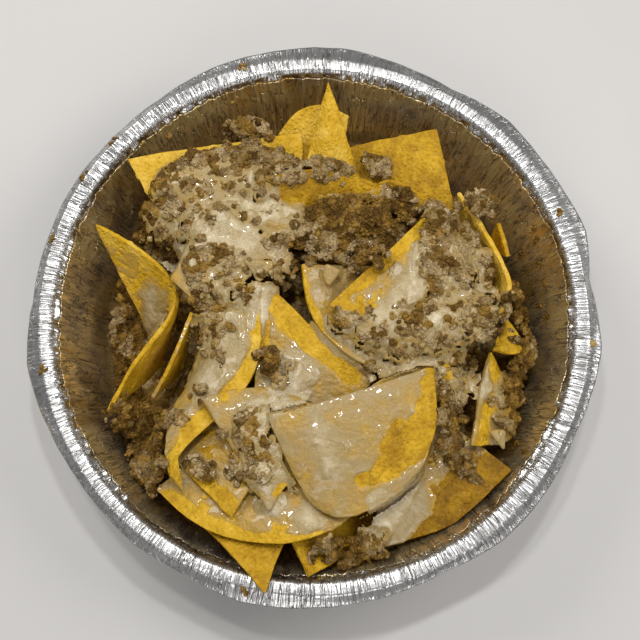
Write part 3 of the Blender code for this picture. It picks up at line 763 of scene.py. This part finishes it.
def scatterTree():
    # crumbs over a surface: how many by the surface's own "share" value, sizes and turns by chance
    tree = bpy.data.node_groups.new("crumbScatter", "GeometryNodeTree")
    ids = {}
    for name, kind in (("Surface", "Geometry"), ("Crumbs", "Collection"), ("Per Square Metre", "Float"),
                       ("Smallest", "Float"), ("Largest", "Float"), ("Seed", "Int"), ("Finish", "Material")):
        socket = tree.interface.new_socket(name, in_out="INPUT", socket_type="NodeSocket" + kind)
        ids[name] = socket.identifier
    tree.interface.new_socket("Scattered", in_out="OUTPUT", socket_type="NodeSocketGeometry")

    def add(kind, settings=None, sockets=None):
        made = tree.nodes.new(kind)
        for key, value in (settings or {}).items():
            setattr(made, key, value)
        for key, value in (sockets or {}).items():
            if isinstance(value, bpy.types.NodeSocket):
                tree.links.new(value, made.inputs[key])
            else:
                made.inputs[key].default_value = value
        return made

    given = add("NodeGroupInput").outputs
    share = add("GeometryNodeInputNamedAttribute", {"data_type": "FLOAT"}, {"Name": "share"}).outputs[0]
    density = add("ShaderNodeMath", {"operation": "MULTIPLY"},
                  {0: share, 1: given["Per Square Metre"]}).outputs[0]
    spots = add("GeometryNodeDistributePointsOnFaces", {"distribute_method": "RANDOM"},
                {"Mesh": given["Surface"], "Density": density, "Seed": given["Seed"]}).outputs["Points"]
    shapes = add("GeometryNodeCollectionInfo", {},
                 {"Collection": given["Crumbs"], "Separate Children": True,
                  "Reset Children": True}).outputs[0]
    turn = add("FunctionNodeRandomValue", {"data_type": "FLOAT_VECTOR"},
               {0: (0, 0, 0), 1: (6.283, 6.283, 6.283), "Seed": given["Seed"]})
    chance = add("FunctionNodeRandomValue", {"data_type": "FLOAT"}, {"Seed": given["Seed"]}).outputs[1]
    skew = add("ShaderNodeMath", {"operation": "POWER"}, {0: chance, 1: 1.7}).outputs[0]
    size = add("ShaderNodeMapRange", {},
               {0: skew, 1: 0.0, 2: 1.0, 3: given["Smallest"], 4: given["Largest"]}).outputs[0]
    placed = add("GeometryNodeInstanceOnPoints", {},
                 {"Points": spots, "Instance": shapes, "Pick Instance": True, "Rotation": turn.outputs[0],
                  "Scale": size}).outputs[0]
    real = add("GeometryNodeRealizeInstances", {}, {0: placed}).outputs[0]
    dressed = add("GeometryNodeSetMaterial", {}, {"Geometry": real, "Material": given["Finish"]}).outputs[0]
    add("NodeGroupOutput", {}, {0: dressed})
    return tree, ids


crumbTree, crumbIds = scatterTree()


def scatter(name, surface, crumbs, perCm2, sizes, seed):
    # crumbs over a helper surface, as one plain piece; sizes in millimetres of radius
    modifier = surface.modifiers.new("crumbs", "NODES")
    modifier.node_group = crumbTree
    for key, value in (("Crumbs", crumbs), ("Per Square Metre", perCm2 * 1e4), ("Smallest", sizes[0]),
                       ("Largest", sizes[1]), ("Seed", seed), ("Finish", beef)):
        modifier[crumbIds[key]] = value
    graph = bpy.context.evaluated_depsgraph_get()
    mesh = bpy.data.meshes.new_from_object(surface.evaluated_get(graph), depsgraph=graph)
    surface.modifiers.remove(modifier)
    points, normals, faces = arraysOf(mesh)
    points = keptInside(points, beefLook["crumbWallGap"])
    seam = np.clip(layered(points, 3, 81, 2) * 1.2 - 0.4, 0, 1)
    return makePiece(name, points, faces, beef, "ground_beef", coated=coatedAt(points), seam=seam), points


def openSky(points, blockers):
    # 1 where nothing lies above a place, 0 where it is covered
    at = (points[:, :2] + mapReach).astype(int)
    return eased(skyline(blockers, 1.0)[at[:, 0], at[:, 1]] - points[:, 2], 6, 2.5)


def wallRoom(points):
    # 1 well inside the pan's wall, 0 where a crumb would reach it
    wall = np.interp(points[:, 2], [0, 5, 42.6, 43.5, 44, 60], [82, 90.6, 104.2, 104.2, 108, 108])
    return np.clip((wall - beefLook["wallGap"] - np.hypot(points[:, 0], points[:, 1])) / 1.5, 0, 1)


def upperSide(piece, above, slope, least, patch):
    # a helper surface for crumbs: they lie where the piece is open to the sky, thicker in patches
    points, normals, faces = arraysOf(piece.data)
    patches = least + (1 - least) * eased(layered(points, patch[0], 83, 2), patch[1], 0.2)
    share = openSky(points, above) * eased(normals[:, 2], *slope) * patches * wallRoom(points)
    return makePiece("surface", points, faces, None, None, share=np.clip(share, 0, 1))


# where crumbs lie over chips and heaps alike: (x, y, radius)
beefZones = [[(-42, 22, 8), (-30, 15, 6)],
             [(-58, 46, 9), (-44, 56, 11), (-25, 58, 10), (-5, 60, 8), (7, 59, 5)],
             [(2, 56, 4), (12, 57, 3)], [(-68, 40, 7), (-52, 40, 9), (-36, 47, 9), (-20, 44, 7)],
             [(-5, 36, 6), (10, 40, 9), (26, 44, 8), (40, 46, 6), (50, 44, 4)],
             [(-2, 26, 6), (12, 28, 8), (18, 22, 5)],
             [(49, 40, 6), (57, 30, 9), (61, 17, 10), (65, 5, 9), (69, -5, 6)],
             [(12, -5, 5), (26, -12, 8), (41, -8, 9), (55, 1, 9)], [(-84, 8, 4), (-84, -6, 4)],
             [(-44, 9, 6), (-40, -7, 5), (-36, -19, 4)], [(-44, -32, 4)], [(-52, -44, 3)], [(-23, 17, 3)],
             [(-77, -39, 7), (-66, -45, 9), (-73, -59, 7), (-67, -67, 6)],
             [(84, 4, 6), (86, -12, 6), (84, -28, 7), (78, -41, 6)], [(-17, -20, 4)], [(-29, -61, 5)],
             [(53, -36, 4), (55, -53, 5), (61, -65, 4)],
             [(-15, 28, 5), (-11, 18, 5)], [(56, -13, 6), (60, -23, 6), (56, -33, 5)],
             [(-27, -49, 5), (-19, -59, 5)], [(24, 62, 4), (30, 60, 3)], [(2, -92, 4), (14, -92, 6)]]
for name in clumpNodes:
    low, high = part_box(name)
    beefZones.append([((low.x + high.x) / 2 / mm, (low.y + high.y) / 2 / mm, (high.x - low.x) / 2 / mm + 1)])


def gridSurface(top, cell):
    # points and faces of a flat grid with these heights
    count = len(top)
    middles = (np.arange(count) + 0.5) * cell - mapReach
    x, y = np.meshgrid(middles, middles, indexing="ij")
    grid = np.arange(count * count).reshape(count, count)
    quads = np.stack([grid[:-1, :-1], grid[1:, :-1], grid[1:, 1:], grid[:-1, 1:]], -1).reshape(-1, 4)
    return np.stack([x.ravel(), y.ravel(), top.ravel()], -1), [quads]


bigCrumbs = crumbShapes("crumb", 10, 2, 301)
grains = crumbShapes("grain", 6, 1, 302)
laidSoFar = visible + [p for p, f in cores]
spread = upperSide(bed, laidSoFar, (-0.2, 0.3), 0.4, (9, -0.3))
loose, points = scatter("crumbsOnBed", spread, bigCrumbs, beefLook["bedPerCm2"], beefLook["crumbSizes"], 11)
visible.append(points)
bpy.data.objects.remove(spread)


def overZones(above, size, seed, cloud, lift):
    # a helper surface that follows the top of the pile wherever crumbs lie, and fills the gaps between chips
    top = closed(skyline(above, 1.0))
    bridged = blurred(top, beefLook["bridge"]) - beefLook["bridgeDrop"]
    points, faces = gridSurface(np.maximum(blurred(top, size), bridged), 1.0)
    zone = inside(points, beefZones) / 4 + 0.3 + cloud * layered(points, 7, seed, 3)
    zone = np.where(points[:, 2] > 8, np.clip(zone, 0, 1), 0) * wallRoom(points)
    points[:, 2] += lift
    points, faces, values = pruned(points, faces, zone > 0, share=zone)
    return makePiece("skyline", points, faces, None, None, **values)


spread = overZones(laidSoFar, 0.8, 84, 1.2, -0.4)
packed, points = scatter("packed", spread, bigCrumbs, beefLook["packedPerCm2"], beefLook["crumbSizes"], 51)
shells = cores + [arraysOf(packed.data)[::2]]
bpy.data.objects.remove(packed)
bpy.data.objects.remove(spread)
mass = grownTogether("beefPacked", shells, piled, beefLook["voxel"], beefLook["soften"],
                     beefLook["massDepth"], 202)
print("beef packed", len(mass.data.polygons))

spread = upperSide(mass, visible, (-0.3, 0.2), 0.3, (6, -0.2))
for name, shapes, perCm2, sizes, seed in (
        ("crumbsLoose", bigCrumbs, beefLook["loosePerCm2"], beefLook["looseSizes"], 52),
        ("grainsLoose", grains, beefLook["grainsPerCm2"], beefLook["grainSizes"], 53)):
    loose, points = scatter(name, spread, shapes, perCm2, sizes, seed)
    visible.append(points)
    print(name, len(loose.data.polygons))
bpy.data.objects.remove(spread)


# crumbs and queso drops stuck to the foil: x, y and spread
strays = {
    "crumbs": [(-83.5, 73.6, 3.4), (-94.7, 56.9, 2.6), (-107.2, 31.1, 2.2), (-107.3, -23.4, 2.6),
               (-31.3, 106.9, 2.8), (-25.4, -108.3, 1.8), (100.3, 41.7, 1.6), (93.9, 34.3, 1.4),
               (89.4, 32.1, 1.2), (95.8, 24.8, 1.3), (97.5, 16.8, 1.5), (96.0, 8.5, 1.2),
               (83.3, -51.4, 1.4), (84.7, -55.7, 1.2), (98.5, 2.0, 1.0), (92.5, 38.5, 1.0)],
    "drops": [(-62, 80, 1.1), (-35, 95, 0.9), (-33, 96.5, 0.6), (111.4, -12.5, 1.4), (-72, 74, 0.8),
              (60, -78, 0.9)],
    "perPlace": 10, "smallest": 0.35, "largest": 0.95, "gapToFoil": 0.1,
}


def stuckOn(name, places, perPlace, flatness, shapes, material, slotName, seed, **values):
    # flattened crumbs that rest on the foil, in handfuls round each place
    chance = np.random.default_rng(seed)
    points, faces, count = [], [], 0
    for x, y, spread in places:
        for n in range(perPlace):
            gap = chance.normal(0, spread * 0.42, 2) if perPlace > 1 else (0, 0)
            angle, radius = math.atan2(y + gap[1], x + gap[0]), math.hypot(x + gap[0], y + gap[1])
            s = np.interp(radius, profileRadius, profileLengths)
            spot, normal, creased = panSurface(np.array([angle]), np.array([s]))
            size = chance.uniform(strays["smallest"], strays["largest"]) if perPlace > 1 else spread
            shape, sides, parts = arraysOf(shapes.objects[n % len(shapes.objects)].data)
            high = shape @ normal[0]
            shape = (shape - np.outer(high, normal[0]) * (1 - flatness)) * size
            raised = strays["gapToFoil"] - (shape @ normal[0]).min()
            points.append(shape + spot[0] + normal[0] * raised)
            faces += [f + count for f in parts]
            count += len(shape)
    points = np.concatenate(points)
    return makePiece(name, points, faces, material, slotName, **{k: v(points) for k, v in values.items()})


stuckOn("crumbsOnFoil", strays["crumbs"], strays["perPlace"], 0.6, bigCrumbs, beef, "ground_beef", 5,
        coated=lambda p: 0.1 + 0.3 * layered(p, 6, 5, 2), seam=lambda p: np.zeros(len(p)))
stuckOn("quesoDrops", strays["drops"], 1, 0.35, bigCrumbs, queso, "queso", 6,
        thick=lambda p: 0.3 + 0.3 * layered(p, 3, 6, 2))
print("foil spattered")


# queso that has run over everything

quesoLook = {
    "cell": 0.5, "spread": 2.2, "cling": 0.8, "floor": 6, "steepest": 1.7, "deepest": 1.5, "thickest": 2.5,
    # how far a film starts under the pile and how much it rises where there is most of it
    "pool": (0.5, 0.9), "poolCling": (0.6, 0.55), "wash": (1.3, 1.15),
}
# thick pools and thin washes of queso, as strokes of x, y and radius
pools = [[(-54, 28, 4), (-50, 20, 4)], [(-21, 6, 3), (-24, -6, 3)], [(-34, 44, 4), (-12, 38, 4)],
         [(44, -8, 3), (52, -2, 3)], [(-46, 34, 6), (-36, 32, 8), (-27, 27, 6)],
         [(26, -5, 4), (33, 3, 4), (39, 13, 4), (43, 24, 3)],
         [(0, -24, 5), (-8, -32, 6), (-16, -40, 6), (-22, -38, 5)],
         [(26, -80, 8), (34, -74, 7)], [(-20, -66, 5), (-15, -78, 4)]]
washes = [[(-62, 58, 6), (-46, 50, 12), (-28, 49, 11), (-13, 34, 7)],
          [(-56, 36, 8), (-46, 20, 10), (-30, 10, 9)],
          [(10, -10, 7), (34, -14, 9), (54, -8, 9), (62, 4, 9), (60, 22, 9)], [(-40, -4, 4), (-42, -14, 4)],
          [(-22, 17, 4), (-15, 30, 4)], [(-67, 8, 3), (-67, -2, 3)], [(-20, -56, 8), (-6, -62, 6)],
          [(66, -30, 5)]]


def runQueso():
    # a sheet over the pile, kept where it stands above what lies there; pools fill hollows, washes cling
    cell = quesoLook["cell"]
    top = closed(skyline(visible, cell))
    soft = blurred(top, quesoLook["spread"] / cell)
    near = blurred(top, quesoLook["cling"] / cell)
    count = len(top)
    flat, faces = gridSurface(np.zeros((count, count)), cell)
    ragged = layered(flat, 8, 61, 3)
    fineRag = layered(flat, 2.5, 62, 2)
    pool = np.clip(inside(flat, pools) / 4 + 0.6 + ragged * 1.1, -1, 1.4)
    wash = np.clip(inside(flat, washes) / 6 + 0.5 + ragged * 1.3 + fineRag * 0.5, -1, 1)
    pool, wash = pool.reshape(count, count), wash.reshape(count, count)

    def greaseFilmAndReflection(under, amount, kind):
        sink, rise = quesoLook[kind]
        return np.where(amount > 0, under - sink + amount * rise, emptyCell)

    level = np.maximum(greaseFilmAndReflection(soft, pool, "pool"), greaseFilmAndReflection(near, pool, "poolCling"))
    level = np.maximum(level, greaseFilmAndReflection(soft, wash, "wash"))
    above = level - top
    shown = blurred((above > 0.02).astype(float), 1.2) > 0.12
    level = np.where(level > -5, level, near - 1.2)
    level = np.clip(level, top - quesoLook["deepest"], top + quesoLook["thickest"])
    level = blurred(np.where(shown, level, np.minimum(level, near - 0.6)), 0.7)
    keep = shown & (top > quesoLook["floor"])
    flat[:, 2] = level.ravel()
    thick = np.clip(0.40 + 0.25 * above.ravel() + 0.30 * np.clip(pool.ravel(), 0, 1), 0.36, 1)
    fall = np.ptp(flat[faces[0], 2], axis=1)          # no curtains of queso down the sides of the chips
    points, faces, values = pruned(flat, [faces[0][fall < quesoLook["steepest"]]], keep.ravel(), thick=thick)
    return makePiece("quesoRun", points, faces, queso, "queso", **values)


run = runQueso()
print("queso poured", len(run.data.polygons))


# floor, light and camera

def floorFinish(name, colour, rough):
    r = Recipe(name)
    return r.finish(Base_Color=r.mix(r.grain(60), tuple(c * 0.97 for c in colour), colour), Roughness=rough)


corners = np.array([[-1, -1, 0], [1, -1, 0], [1, 1, 0], [-1, 1, 0]]) * 3000.0
floor = makePiece("floor", corners, [np.array([[0, 1, 2, 3]])],
                  floorFinish("paleFloor", (0.62, 0.61, 0.60), 0.7), None)

studio = {
    # place, size, power, warmth
    "key": ((-0.40, 0.42, 0.55), 0.40, 2.2, (1.0, 0.97, 0.92)),
    "fill": ((0.50, 0.10, 0.55), 0.40, 1.8, (1.0, 0.97, 0.93)),
    "front": ((0.05, -0.60, 0.60), 0.50, 1.5, (1.0, 0.97, 0.94)),
    "sparkle": ((0.04, 0.20, 0.78), 0.05, 1.3, (1.0, 1.0, 1.0)),
    "glint": ((-0.09, 0.13, 0.76), 0.05, 0.9, (1.0, 1.0, 1.0)),
}
for name, (place, size, power, warmth) in studio.items():
    light = bpy.data.lights.new(name, "AREA")
    light.shape, light.size, light.energy, light.color = "DISK", size, power, warmth
    lamp = bpy.data.objects.new(name, light)
    lamp.location = place
    lamp.rotation_euler = (-lamp.location).to_track_quat("-Z", "Y").to_euler()     # aimed at the pan
    bpy.context.scene.collection.objects.link(lamp)

surround = {"colour": (0.5, 0.5, 0.5, 1), "strength": 0.40}
world = bpy.data.worlds.new("studio")
world.use_nodes = True
background = world.node_tree.nodes["Background"]
background.inputs["Color"].default_value = surround["colour"]
background.inputs["Strength"].default_value = surround["strength"]
bpy.context.scene.world = world

shot = {"target": (0.00255, -0.00313, 0.044), "distance": 0.420, "elevation": 77.19, "lens": 59.156}
camera = bpy.data.objects.new("camera", bpy.data.cameras.new("camera"))
camera.data.lens, camera.data.sensor_width, camera.data.clip_start = shot["lens"], 36, 0.01
tilt = math.radians(shot["elevation"])
camera.location = (shot["target"][0], shot["target"][1] - shot["distance"] * math.cos(tilt),
                   shot["target"][2] + shot["distance"] * math.sin(tilt))
camera.rotation_euler = (math.pi / 2 - tilt, 0, 0)
bpy.context.scene.collection.objects.link(camera)
bpy.context.scene.camera = camera
